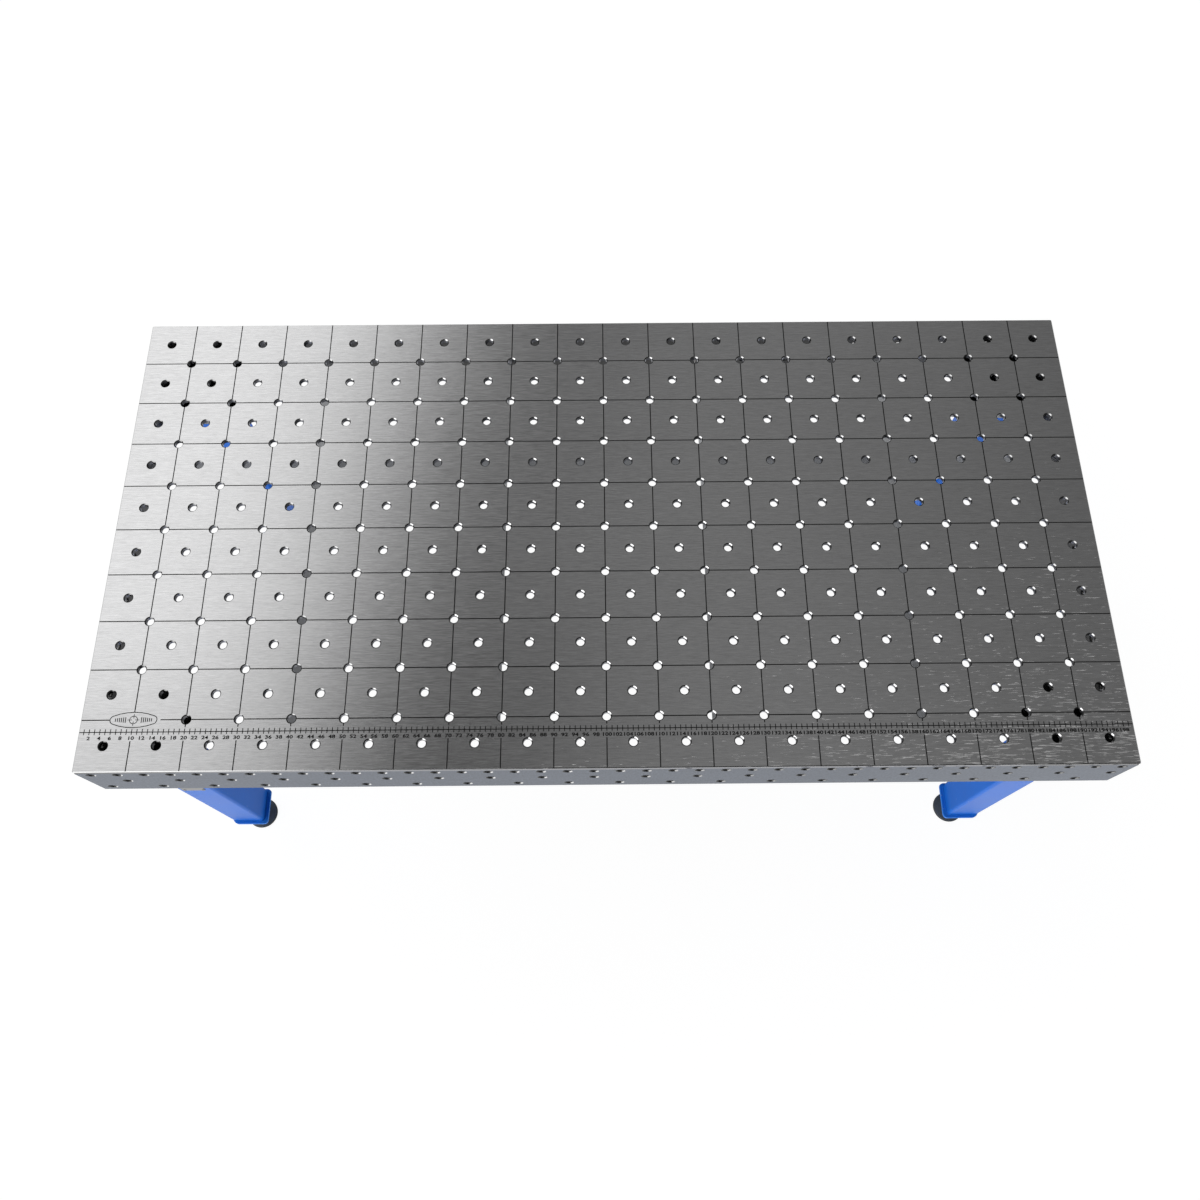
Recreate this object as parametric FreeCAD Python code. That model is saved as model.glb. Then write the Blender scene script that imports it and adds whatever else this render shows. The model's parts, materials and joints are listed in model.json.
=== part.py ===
import FreeCAD, Part
import os
from math import radians, cos, sin, tan, sqrt
from FreeCAD import Vector

# Perforated welding table on four box-section legs with levelling feet.
# Frame: origin on the floor under the middle of the table, X along the length,
# Y along the depth with the front at -Y, Z up.  All sizes in millimetres.

# ---------------------------------------------------------------- dimensions
TOP_L = 2000.0          # table length
TOP_W = 1000.0          # table depth
TOP_Z = 900.0           # height of the work surface
PLATE_T = 12.0          # thickness of the top plate, the skirts and the ribs
SKIRT_H = 150.0         # work surface to lower edge of the skirts
TOP_EDGE_C = 1.5        # broken edge round the work surface
TOP_CORNER_R = 3.0      # vertical corners of the top plate
SEAM_C = 0.5            # broken lower outer edge of the skirts

HOLE_R = 8.0            # clamping holes
HOLE_C = 2.0            # chamfer at each mouth of a hole
PITCH = 100.0           # pitch of each of the two hole grids in the top

GROOVE_W = 2.1          # scribed grid lines
GROOVE_D = 0.3
RULE_Y = -423.8         # scribed base line of the front scale
RULE_W = 1.8
RULE_GAP = (-441.0, -415.0)      # Y range round the scale without cross lines
DATUM_X, DATUM_Y = -900.0, -400.0     # plain marked field instead of a hole
DATUM_L, DATUM_W = 90.6, 31.6    # outer size of its oval border
DATUM_END_R = 9.0       # radius of the oval's ends
DATUM_GROOVE_W = 1.6
DATUM_GAP = 6.0         # from the oval's right end to the grid line

RIB_X = (-625.0, -222.5, 222.5, 625.0)   # transverse ribs
RIB_Y = 175.0           # longitudinal rib
LONG_RIB_H = 104.0
LAP_CLEAR = 0.2         # side clearance in the halving joints
RELIEF_R = 12.0         # reliefs in the rib ends behind the skirt holes
RELIEF_D = 26.0
RELIEF_START = 0.5      # how far outside the rib end a relief starts
RELIEF_REACH = 20.0     # holes nearer than this to a rib need a relief

MOUNT_S = 150.0         # square leg mounting plate in each corner
MOUNT_T = 8.0
GUSSET_T = 8.0          # vertical stiffener along the plate's inner edge
GUSSET_L = 60.0

LEG_X, LEG_Y = 913.7, 412.0      # leg centres
LEG_S = 80.0            # square tube
LEG_WALL = 3.0
LEG_R = 8.0
FLANGE_S = 140.0        # bolted flange on the leg's upper end
FLANGE_T = 8.0
FLANGE_R = 10.0
BASE_LX, BASE_LY = 89.4, 89.0    # plate on the leg's lower end
BASE_X, BASE_Y = 909.0, 415.6    # its middle, off the leg centre
BASE_T = 8.0
BASE_R = 10.0
BASE_R_OUT = 17.0       # its outermost corner
BASE_C = 0.8
BASE_Z = 107.0          # underside of that plate

FIT = 0.05              # clearance between parts that run on each other
BOLT_OFF = 56.0         # half the bolt spacing
BOLT_HOLE_R = 6.5
BOLT_R = 6.0
BOLT_L = 37.0           # below the head
BOLT_TIP_C = 1.0
BOLT_AF = 18.0          # across flats, head and nut
BOLT_HEAD_H = 7.5
BOLT_NUT_H = 10.0
BOLT_WASHER_R, BOLT_WASHER_BORE_R = 12.0, 6.5
WASHER_T = 2.5          # all washers

THREAD_R = 8.0          # levelling spindle
THREAD_TIP_C = 1.5
BASE_HOLE_R = THREAD_R + 0.75
SPINDLE_TOP = 170.0
SPINDLE_AF = 24.0       # across flats, spindle collar and nuts
COLLAR_Z0, COLLAR_Z1 = 32.0, 42.0
NECK_R = 6.0            # between journal and collar
WELD_NUT_H = 13.0
LOCK_NUT_H = 8.0
LOCK_WASHER_R, LOCK_WASHER_BORE_R = 14.5, 8.5
BALL_R = 12.0
BALL_Z = 19.0           # centre of the foot's ball
BALL_FLAT = 26.5        # upper flat of the ball
JOURNAL_R = 5.0         # spindle end inside the ball
JOURNAL_Z0 = 11.0
JOURNAL_C = 0.6
BALL_BORE_Z0 = 10.5     # bottom of the blind bore in the ball
DISC_R = 38.0
PAD_R = 38.5
PAD_T = 4.0
PAD_FOOT_C, PAD_TOP_C = 1.0, 0.4

ID_L, ID_H, ID_T = 51.0, 70.0, 1.0       # blank identification plate
ID_R = 5.0
ID_X, ID_Z0 = -916.0, 500.0              # its middle and lower edge
RIVET_INSET = 5.0       # rivet centre from the plate's edges
RIVET_R, RIVET_HOLE_R, RIVET_L = 1.6, 1.65, 5.0
RIVET_HEAD_R, RIVET_HEAD_T, RIVET_HEAD_C = 3.2, 0.9, 0.45

PLATE_Z0 = TOP_Z - PLATE_T               # underside of the top plate
SKIRT_Z0 = TOP_Z - SKIRT_H
IN_X = TOP_L / 2 - PLATE_T               # inner faces of the skirts
IN_Y = TOP_W / 2 - PLATE_T
FLANGE_Z0 = SKIRT_Z0 - FLANGE_T
BASE_TOP = BASE_Z + BASE_T
ID_FACE_Y = -LEG_Y - LEG_S / 2           # front face of the front legs

PAST = 1.0              # how far cutters run past a face
TOL = 1e-6              # for picking edges
UP, BACK = Vector(0, 0, 1), Vector(0, 1, 0)

# name, side in X, side in Y
CORNERS = (("front_left", -1, -1), ("front_right", 1, -1),
           ("rear_left", -1, 1), ("rear_right", 1, 1))

os.makedirs("parts", exist_ok=True)


# ---------------------------------------------------------------- helpers
def box(x0, x1, y0, y1, z0, z1):
    """Box between two opposite corners, whose X and Y may come in either order."""
    x0, x1 = min(x0, x1), max(x0, x1)
    y0, y1 = min(y0, y1), max(y0, y1)
    return Part.makeBox(x1 - x0, y1 - y0, z1 - z0, Vector(x0, y0, z0))


def cylinder(radius, height, x, y, z, direction=UP):
    return Part.makeCylinder(radius, height, Vector(x, y, z), direction)


def round_plate(x, y, z0, z1, length, width, radius):
    """Upright prism over a rounded rectangle centred on x, y."""
    arc_inset = radius * (1 - sqrt(0.5))

    def point(side_x, side_y, inset_x, inset_y):
        return Vector(x + side_x * (length / 2 - inset_x), y + side_y * (width / 2 - inset_y), z0)

    along_x, along_y = (radius, 0), (0, radius)
    edges = []
    previous = point(-1, -1, *along_x)
    for side_x, side_y, first, last in ((1, -1, along_x, along_y), (1, 1, along_y, along_x),
                                        (-1, 1, along_x, along_y), (-1, -1, along_y, along_x)):
        start = point(side_x, side_y, *first)
        middle = point(side_x, side_y, arc_inset, arc_inset)
        end = point(side_x, side_y, *last)
        edges.append(Part.LineSegment(previous, start).toShape())
        edges.append(Part.Arc(start, middle, end).toShape())
        previous = end
    return Part.Face(Part.Wire(edges)).extrude(Vector(0, 0, z1 - z0))


def revolve(points, x=0, y=0):
    """Solid of revolution about the vertical line through x, y; points are (radius, z)."""
    outline = [Vector(x + radius, y, z) for radius, z in points]
    face = Part.Face(Part.makePolygon(outline + outline[:1]))
    return face.revolve(Vector(x, y, 0), UP, 360)


def hex_blank(flats, z0, z1, x, y, turn=0.0, upper=True):
    """Hexagon with corners turned off at 30 degrees below and, if upper, above."""
    corner_r = flats / sqrt(3)
    face_r = flats / 2 * 0.97
    drop = (corner_r - face_r) * tan(radians(30))
    outer_r = corner_r + 0.01
    corners = [Vector(x + corner_r * cos(radians(60 * i + turn)),
                      y + corner_r * sin(radians(60 * i + turn)), z0) for i in range(7)]
    prism = Part.Face(Part.makePolygon(corners)).extrude(Vector(0, 0, z1 - z0))
    profile = [(0, z0), (face_r, z0), (outer_r, z0 + drop)]
    profile += [(outer_r, z1 - drop), (face_r, z1)] if upper else [(outer_r, z1)]
    profile.append((0, z1))
    return prism.common(revolve(profile, x, y))


def nut(flats, bore_r, z0, height, x, y, turn=0.0):
    blank = hex_blank(flats, z0, z0 + height, x, y, turn)
    return blank.cut(cylinder(bore_r, height + 2 * PAST, x, y, z0 - PAST))


def washer(outer_r, bore_r, z0, x, y):
    bore = cylinder(bore_r, WASHER_T + 2 * PAST, x, y, z0 - PAST)
    return cylinder(outer_r, WASHER_T, x, y, z0).cut(bore)


def edges_at(shape, axis, level):
    """Edges that lie wholly in the plane axis = level."""
    return [e for e in shape.Edges
            if abs(getattr(e.BoundBox, axis + "Min") - level) < TOL
            and abs(getattr(e.BoundBox, axis + "Max") - level) < TOL]


def save(name, shape):
    solids = shape.Solids
    for solid in solids:
        if not solid.isValid():
            raise RuntimeError("invalid solid in " + name)
    out = solids[0] if len(solids) == 1 else Part.makeCompound(solids)
    out.exportStep("parts/%s.step" % name)


# ---------------------------------------------------------------- top plate
def hole_cutter():
    """Cutter for a through hole with both mouths chamfered, plate from z=0 to z=PLATE_T."""
    wide = HOLE_R + HOLE_C + PAST
    return revolve([(0, -PAST), (wide, -PAST), (HOLE_R, HOLE_C), (HOLE_R, PLATE_T - HOLE_C),
                    (wide, PLATE_T + PAST), (0, PLATE_T + PAST)])


def datum_oval(z0, z1, inset=0.0):
    """Four-centred oval of the datum field, offset inwards by inset."""
    half_x, half_y = DATUM_L / 2, DATUM_W / 2
    side_r = (half_x ** 2 + half_y ** 2 - 2 * half_x * DATUM_END_R) / (2 * (half_y - DATUM_END_R))
    # from the centre of a long arc to the centre of an end arc
    run, rise = half_x - DATUM_END_R, side_r - half_y
    scale = (side_r - inset) / sqrt(run * run + rise * rise)
    join_x, join_y = scale * run, scale * rise - rise
    half_x, half_y = half_x - inset, half_y - inset
    ring = [(join_x, -join_y), (half_x, 0), (join_x, join_y), (0, half_y),
            (-join_x, join_y), (-half_x, 0), (-join_x, -join_y), (0, -half_y)]
    ring = [Vector(DATUM_X + x, DATUM_Y + y, z0) for x, y in ring + ring[:1]]
    arcs = [Part.Arc(*ring[i:i + 3]).toShape() for i in (0, 2, 4, 6)]
    return Part.Face(Part.Wire(arcs)).extrude(Vector(0, 0, z1 - z0))


def surface_grooves():
    z0, z1 = TOP_Z - GROOVE_D, TOP_Z + PAST
    end_x, end_y = TOP_L / 2 + PAST, TOP_W / 2 + PAST
    half = GROOVE_W / 2
    grooves = []
    for i in range(1 - COUNT_X, COUNT_X):
        x = i * PITCH
        start = DATUM_Y + DATUM_W / 2 - DATUM_GROOVE_W / 2 if x == DATUM_X else RULE_GAP[1]
        grooves.append(box(x - half, x + half, start, end_y, z0, z1))
        grooves.append(box(x - half, x + half, -end_y, RULE_GAP[0], z0, z1))
    for j in range(1 - COUNT_Y, COUNT_Y):
        y = j * PITCH
        spans = [(-end_x, end_x)]
        if y == DATUM_Y:
            spans = [(-end_x, DATUM_X - DATUM_L / 2 + DATUM_GROOVE_W / 2),
                     (DATUM_X + DATUM_L / 2 + DATUM_GAP, end_x)]
        for x0, x1 in spans:
            grooves.append(box(x0, x1, y - half, y + half, z0, z1))
    grooves.append(box(-end_x, end_x, RULE_Y - RULE_W / 2, RULE_Y + RULE_W / 2, z0, z1))
    inner = datum_oval(z0 - PAST, z1 + PAST, DATUM_GROOVE_W)
    grooves.append(datum_oval(z0, z1).cut(inner))
    return Part.makeCompound(grooves)


def table_top():
    plate = round_plate(0, 0, PLATE_Z0, TOP_Z, TOP_L, TOP_W, TOP_CORNER_R)
    plate = plate.makeChamfer(TOP_EDGE_C, edges_at(plate, "Z", TOP_Z))
    plate = plate.cut(surface_grooves())
    # one grid in the middle of the scribed squares, one on the crossings
    centres = [(PITCH * i + PITCH / 2, PITCH * j + PITCH / 2)
               for i in range(-COUNT_X, COUNT_X) for j in range(-COUNT_Y, COUNT_Y)]
    centres += [(PITCH * i, PITCH * j)
                for i in range(1 - COUNT_X, COUNT_X) for j in range(1 - COUNT_Y, COUNT_Y)
                if (PITCH * i, PITCH * j) != (DATUM_X, DATUM_Y)]
    cutters = []
    for x, y in centres:
        cutter = HOLE_CUTTER.copy()
        cutter.translate(Vector(x, y, PLATE_Z0))
        cutters.append(cutter)
    return plate.cut(Part.makeCompound(cutters))


COUNT_X = int(round(TOP_L / 2 / PITCH))    # grid squares from the middle to an edge
COUNT_Y = int(round(TOP_W / 2 / PITCH))
HOLE_CUTTER = hole_cutter()
save("table_top", table_top())


# ---------------------------------------------------------------- skirts
def skirt_holes(length):
    """Three rows of holes: (station along the skirt, depth below the work surface)."""
    start = -length / 2
    count = int(round(length / 50))
    holes = [(start + 25 + 50 * k, 25.0) for k in range(count)]
    holes += [(start + 75 + 100 * k, 75.0) for k in range(count // 2)]
    holes += [(start + 25 + 100 * k, 125.0) for k in range(count // 2)]
    return holes


def skirt(length, holes, mirror, turn, x, y):
    """Panel made with its outer face on y=0, then turned about Z and moved to x, y.
    mirror is -1 where the turn would reverse the stations of the holes."""
    panel = box(-length / 2, length / 2, 0, PLATE_T, SKIRT_Z0, PLATE_Z0)
    lower_outer = [e for e in panel.Edges
                   if abs(e.BoundBox.ZMax - SKIRT_Z0) < TOL and abs(e.BoundBox.YMax) < TOL]
    panel = panel.makeChamfer(SEAM_C, lower_outer)
    cutters = []
    for station, depth in holes:
        cutter = HOLE_CUTTER.copy()
        cutter.rotate(Vector(0, 0, 0), Vector(1, 0, 0), -90)
        cutter.translate(Vector(mirror * station, 0, TOP_Z - depth))
        cutters.append(cutter)
    panel = panel.cut(Part.makeCompound(cutters))
    panel.rotate(Vector(0, 0, 0), UP, turn)
    panel.translate(Vector(x, y, 0))
    return panel


LONG_HOLES = skirt_holes(TOP_L)
SHORT_HOLES = skirt_holes(TOP_W)
SHORT_L = TOP_W - 2 * PLATE_T      # the short skirts fit between the long ones
save("front_skirt", skirt(TOP_L, LONG_HOLES, 1, 0, 0, -TOP_W / 2))
save("rear_skirt", skirt(TOP_L, LONG_HOLES, -1, 180, 0, TOP_W / 2))
save("left_skirt", skirt(SHORT_L, SHORT_HOLES, -1, -90, -TOP_L / 2, 0))
save("right_skirt", skirt(SHORT_L, SHORT_HOLES, 1, 90, TOP_L / 2, 0))


# ---------------------------------------------------------------- ribs
HALF_T = PLATE_T / 2
LONG_RIB_Z0 = PLATE_Z0 - LONG_RIB_H
LAP_Z = PLATE_Z0 - LONG_RIB_H / 2        # the halving joints meet here
SLOT_HALF = HALF_T + LAP_CLEAR


def near_ribs(holes, ribs):
    return [(s, TOP_Z - depth) for s, depth in holes
            if min(abs(s - rib) for rib in ribs) < RELIEF_REACH]


def transverse_rib(x):
    """Full-height rib, slotted from above for the longitudinal rib."""
    rib = box(x - HALF_T, x + HALF_T, -IN_Y, IN_Y, SKIRT_Z0, PLATE_Z0)
    rib = rib.cut(box(x - HALF_T - PAST, x + HALF_T + PAST, RIB_Y - SLOT_HALF, RIB_Y + SLOT_HALF,
                      LAP_Z, PLATE_Z0 + PAST))
    reliefs = [cylinder(RELIEF_R, RELIEF_D, station, side * (IN_Y + RELIEF_START), z,
                        Vector(0, -side, 0))
               for station, z in near_ribs(LONG_HOLES, RIB_X) for side in (-1, 1)]
    return rib.cut(Part.makeCompound(reliefs))


def longitudinal_rib():
    """Lower rib, slotted from below for the transverse ribs."""
    rib = box(-IN_X, IN_X, RIB_Y - HALF_T, RIB_Y + HALF_T, LONG_RIB_Z0, PLATE_Z0)
    slots = [box(x - SLOT_HALF, x + SLOT_HALF, RIB_Y - HALF_T - PAST, RIB_Y + HALF_T + PAST,
                 LONG_RIB_Z0 - PAST, LAP_Z) for x in RIB_X]
    rib = rib.cut(Part.makeCompound(slots))
    reliefs = [cylinder(RELIEF_R, RELIEF_D, side * (IN_X + RELIEF_START), station, z,
                        Vector(-side, 0, 0))
               for station, z in near_ribs(SHORT_HOLES, (RIB_Y,)) for side in (-1, 1)]
    return rib.cut(Part.makeCompound(reliefs))


for name, x in zip(("left_outer", "left_inner", "right_inner", "right_outer"), RIB_X):
    save(name + "_rib", transverse_rib(x))
save("longitudinal_rib", longitudinal_rib())


# ---------------------------------------------------------------- corners and legs
def bolt_points(x, y):
    return [(x + i * BOLT_OFF, y + j * BOLT_OFF) for i in (-1, 1) for j in (-1, 1)]


def drill_bolt_holes(plate, leg_x, leg_y, z0, thickness):
    for x, y in bolt_points(leg_x, leg_y):
        plate = plate.cut(cylinder(BOLT_HOLE_R, thickness + 2 * PAST, x, y, z0 - PAST))
    return plate


def mount_plate(side_x, side_y):
    plate = box(side_x * (IN_X - MOUNT_S), side_x * IN_X, side_y * (IN_Y - MOUNT_S),
                side_y * IN_Y, SKIRT_Z0, SKIRT_Z0 + MOUNT_T)
    return drill_bolt_holes(plate, side_x * LEG_X, side_y * LEG_Y, SKIRT_Z0, MOUNT_T)


def gusset(side_x, side_y):
    x, y = IN_X - MOUNT_S, IN_Y - MOUNT_S
    return box(side_x * x, side_x * (x + GUSSET_L), side_y * y, side_y * (y - GUSSET_T),
               SKIRT_Z0, PLATE_Z0)


def leg_tube(x, y):
    bore_s = LEG_S - 2 * LEG_WALL
    tube = round_plate(x, y, BASE_TOP, FLANGE_Z0, LEG_S, LEG_S, LEG_R)
    return tube.cut(round_plate(x, y, BASE_TOP - PAST, FLANGE_Z0 + PAST, bore_s, bore_s,
                                LEG_R - LEG_WALL))


def leg_flange(x, y):
    flange = round_plate(x, y, FLANGE_Z0, SKIRT_Z0, FLANGE_S, FLANGE_S, FLANGE_R)
    return drill_bolt_holes(flange, x, y, FLANGE_Z0, FLANGE_T)


def leg_base(side_x, side_y):
    base = round_plate(side_x * BASE_X, side_y * BASE_Y, BASE_Z, BASE_TOP, BASE_LX, BASE_LY, BASE_R)
    # a larger plate, shifted inwards, rounds only the outermost corner further
    shift = 20
    base = base.common(round_plate(side_x * (BASE_X - shift), side_y * (BASE_Y - shift),
                                   BASE_Z, BASE_TOP, BASE_LX + 2 * shift, BASE_LY + 2 * shift,
                                   BASE_R_OUT)).removeSplitter()
    level = [e for e in base.Edges if e.BoundBox.ZMax - e.BoundBox.ZMin < TOL]
    base = base.makeChamfer(BASE_C, level)
    return base.cut(cylinder(BASE_HOLE_R, BASE_T + 2 * PAST,
                             side_x * LEG_X, side_y * LEG_Y, BASE_Z - PAST))


def leg_bolt(x, y):
    """Bolt pointing up, its head below the washer under the flange."""
    seat = FLANGE_Z0 - WASHER_T
    head = hex_blank(BOLT_AF, seat - BOLT_HEAD_H, seat, x, y, upper=False)
    shank = cylinder(BOLT_R, BOLT_L, x, y, seat)
    shank = shank.makeChamfer(BOLT_TIP_C, edges_at(shank, "Z", seat + BOLT_L))
    return head.fuse(shank).removeSplitter()


# ---------------------------------------------------------------- levelling feet
def spindle(x, y):
    neck_z = BALL_FLAT + FIT
    journal = revolve([(0, JOURNAL_Z0), (JOURNAL_R - JOURNAL_C, JOURNAL_Z0),
                       (JOURNAL_R, JOURNAL_Z0 + JOURNAL_C), (JOURNAL_R, neck_z), (NECK_R, neck_z),
                       (NECK_R, COLLAR_Z0 + 1), (0, COLLAR_Z0 + 1)], x, y)
    collar = hex_blank(SPINDLE_AF, COLLAR_Z0, COLLAR_Z1, x, y)
    rod = revolve([(0, COLLAR_Z1 - 1), (THREAD_R, COLLAR_Z1 - 1),
                   (THREAD_R, SPINDLE_TOP - THREAD_TIP_C),
                   (THREAD_R - THREAD_TIP_C, SPINDLE_TOP), (0, SPINDLE_TOP)], x, y)
    return journal.fuse([collar, rod]).removeSplitter()


def foot_ball(x, y):
    ball = Part.makeSphere(BALL_R, Vector(x, y, BALL_Z))
    ball = ball.common(cylinder(BALL_R + PAST, BALL_FLAT, x, y, 0))
    bore_r = JOURNAL_R + FIT
    return ball.cut(revolve([(0, BALL_BORE_Z0), (bore_r, BALL_BORE_Z0), (bore_r, 40), (0, 40)],
                            x, y))


# radius, z: rim, cone and collar of the foot disc
DISC_PROFILE = ((0, PAD_T), (DISC_R - 0.8, PAD_T), (DISC_R, PAD_T + 0.8), (DISC_R, PAD_T + 3.4),
                (DISC_R - 1.2, PAD_T + 4.6), (18.5, 15.5), (16.0, 18.0), (15.0, 26.2),
                (14.2, 27.0), (0, 27.0))


def foot_disc(x, y):
    return revolve(DISC_PROFILE, x, y).cut(Part.makeSphere(BALL_R + FIT, Vector(x, y, BALL_Z)))


def foot_pad(x, y):
    return revolve([(0, 0), (PAD_R - PAD_FOOT_C, 0), (PAD_R, PAD_FOOT_C),
                    (PAD_R, PAD_T - PAD_TOP_C), (PAD_R - PAD_TOP_C, PAD_T), (0, PAD_T)], x, y)


# ---------------------------------------------------------------- identification plate
RIVET_POINTS = [(ID_X + i * (ID_L / 2 - RIVET_INSET), ID_Z0 + ID_H / 2 + j * (ID_H / 2 - RIVET_INSET))
                for i in (-1, 1) for j in (-1, 1)]       # x, z


def drill_rivet_holes(shape):
    for x, z in RIVET_POINTS:
        shape = shape.cut(cylinder(RIVET_HOLE_R, 20, x, ID_FACE_Y - 10, z, BACK))
    return shape


def id_plate():
    """Plate on the front face of the front left leg."""
    plate = round_plate(0, 0, 0, ID_T, ID_L, ID_H, ID_R)
    plate.rotate(Vector(0, 0, 0), Vector(1, 0, 0), 90)
    plate.translate(Vector(ID_X, ID_FACE_Y, ID_Z0 + ID_H / 2))
    return drill_rivet_holes(plate)


def rivet(x, z):
    seat = ID_FACE_Y - ID_T
    head = cylinder(RIVET_HEAD_R, RIVET_HEAD_T, x, seat - RIVET_HEAD_T, z, BACK)
    head = head.makeChamfer(RIVET_HEAD_C, edges_at(head, "Y", seat - RIVET_HEAD_T))
    return head.fuse(cylinder(RIVET_R, RIVET_L, x, seat, z, BACK)).removeSplitter()


save("id_plate", id_plate())
save("id_plate_rivets", Part.makeCompound([rivet(x, z) for x, z in RIVET_POINTS]))


# ---------------------------------------------------------------- the four corners
gussets, bolts, washers, nuts, weld_nuts = [], [], [], [], []
for name, side_x, side_y in CORNERS:
    leg = (side_x * LEG_X, side_y * LEG_Y)
    tube = leg_tube(*leg)
    if name == "front_left":
        tube = drill_rivet_holes(tube)
    save(name + "_mount_plate", mount_plate(side_x, side_y))
    save(name + "_leg_tube", tube)
    save(name + "_leg_flange", leg_flange(*leg))
    save(name + "_leg_base", leg_base(side_x, side_y))
    save(name + "_spindle", spindle(*leg))
    save(name + "_foot_ball", foot_ball(*leg))
    save(name + "_foot_disc", foot_disc(*leg))
    save(name + "_foot_pad", foot_pad(*leg))
    lock_z = BASE_Z - WASHER_T
    save(name + "_lock_washer", washer(LOCK_WASHER_R, LOCK_WASHER_BORE_R, lock_z, *leg))
    save(name + "_lock_nut",
         nut(SPINDLE_AF, THREAD_R + FIT, lock_z - LOCK_NUT_H, LOCK_NUT_H, *leg, turn=12))

    gussets.append(gusset(side_x, side_y))
    weld_nuts.append(nut(SPINDLE_AF, THREAD_R + FIT, BASE_TOP, WELD_NUT_H, *leg, turn=30))
    for x, y in bolt_points(*leg):
        washers.append(washer(BOLT_WASHER_R, BOLT_WASHER_BORE_R, FLANGE_Z0 - WASHER_T, x, y))
        bolts.append(leg_bolt(x, y))
        nuts.append(nut(BOLT_AF, BOLT_R + FIT, SKIRT_Z0 + MOUNT_T, BOLT_NUT_H, x, y))

for name, pieces in (("corner_gussets", gussets), ("leg_bolts", bolts),
                     ("leg_bolt_washers", washers), ("leg_bolt_nuts", nuts),
                     ("foot_weld_nuts", weld_nuts)):
    save(name, Part.makeCompound(pieces))
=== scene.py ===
"""A steel welding table on four blue legs with levelling feet.

The table stands on z = 0 with its long side along X; -Y is the front and -X the left.
This script gives them materials and adds the threaded spindles, the marks on the top,
the welds and the studio. Lengths are in metres.
"""
import json
import math

import bmesh
import bpy
from mathutils import Matrix, Vector

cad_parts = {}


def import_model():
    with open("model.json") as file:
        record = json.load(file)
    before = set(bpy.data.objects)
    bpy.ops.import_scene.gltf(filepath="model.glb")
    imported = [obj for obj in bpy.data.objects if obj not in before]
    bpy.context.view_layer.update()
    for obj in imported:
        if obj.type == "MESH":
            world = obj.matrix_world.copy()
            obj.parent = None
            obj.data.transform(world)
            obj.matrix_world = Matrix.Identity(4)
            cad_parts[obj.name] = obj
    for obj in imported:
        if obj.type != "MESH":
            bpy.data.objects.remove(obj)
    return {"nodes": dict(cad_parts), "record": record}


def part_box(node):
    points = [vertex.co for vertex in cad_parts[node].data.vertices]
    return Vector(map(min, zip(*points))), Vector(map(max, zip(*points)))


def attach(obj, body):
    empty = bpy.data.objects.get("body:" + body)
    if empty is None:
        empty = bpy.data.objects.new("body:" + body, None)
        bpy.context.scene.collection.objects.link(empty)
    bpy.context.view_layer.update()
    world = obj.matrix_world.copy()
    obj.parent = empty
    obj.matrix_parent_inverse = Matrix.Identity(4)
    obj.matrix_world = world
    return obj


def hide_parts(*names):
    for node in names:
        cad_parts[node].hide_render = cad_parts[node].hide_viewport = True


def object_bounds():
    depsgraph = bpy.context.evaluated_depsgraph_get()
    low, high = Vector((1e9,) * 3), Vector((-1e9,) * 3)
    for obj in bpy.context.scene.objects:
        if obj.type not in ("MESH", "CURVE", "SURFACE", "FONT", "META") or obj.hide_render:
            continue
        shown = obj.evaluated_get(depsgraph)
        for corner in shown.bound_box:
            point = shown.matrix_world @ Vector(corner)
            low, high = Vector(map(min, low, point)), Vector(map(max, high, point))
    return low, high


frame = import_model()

CAD_LO, CAD_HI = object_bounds()
MM = 0.001
CORNERS = ("front_left", "front_right", "rear_left", "rear_right")

top_low, top_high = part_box("table_top")
TOP_Z = top_high.z
PLATE_Z = top_low.z  # underside of the top plate
X0, X1, Y0, Y1 = top_low.x, top_high.x, top_low.y, top_high.y
HALF_X, HALF_Y = abs(X1), abs(Y1)
SKIRT_Z0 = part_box("front_skirt")[0].z


# ---------------------------------------------------------------- shader graphs
class Signal:
    """An output socket; each piece of arithmetic on it adds a node to its graph."""

    def __init__(self, graph, socket):
        self.graph = graph
        self.socket = socket

    def __add__(self, other):
        return self.graph.math("ADD", self, other)

    def __sub__(self, other):
        return self.graph.math("SUBTRACT", self, other)

    def __rsub__(self, other):
        return self.graph.math("SUBTRACT", other, self)

    def __mul__(self, other):
        return self.graph.math("MULTIPLY", self, other)

    def __truediv__(self, other):
        return self.graph.math("DIVIDE", self, other)

    def __gt__(self, other):
        return self.graph.math("GREATER_THAN", self, other)

    def __lt__(self, other):
        return self.graph.math("LESS_THAN", self, other)

    def __abs__(self):
        return self.graph.math("ABSOLUTE", self)

    def sine(self):
        return self.graph.math("SINE", self)

    def sign(self):
        return self.graph.math("SIGN", self)

    def maximum(self, other):
        return self.graph.math("MAXIMUM", self, other)

    def minimum(self, other):
        return self.graph.math("MINIMUM", self, other)

    def times(self, gain, plus):
        return self.graph.math("MULTIPLY_ADD", self, gain, plus)

    def vary(self, swing, around):
        """Turns a 0 to 1 pattern into a value that swings about a middle one."""
        return (self - 0.5).times(swing, plus=around)

    def fade(self, start, end, low=0.0, high=1.0, smooth=False):
        """Goes from low to high as this value goes from start to end, and stays there."""
        return self.graph.signal(
            "MapRange",
            {"Value": self, "From Min": start, "From Max": end, "To Min": low, "To Max": high},
            interpolation_type="SMOOTHSTEP" if smooth else "LINEAR", clamp=True)


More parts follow.
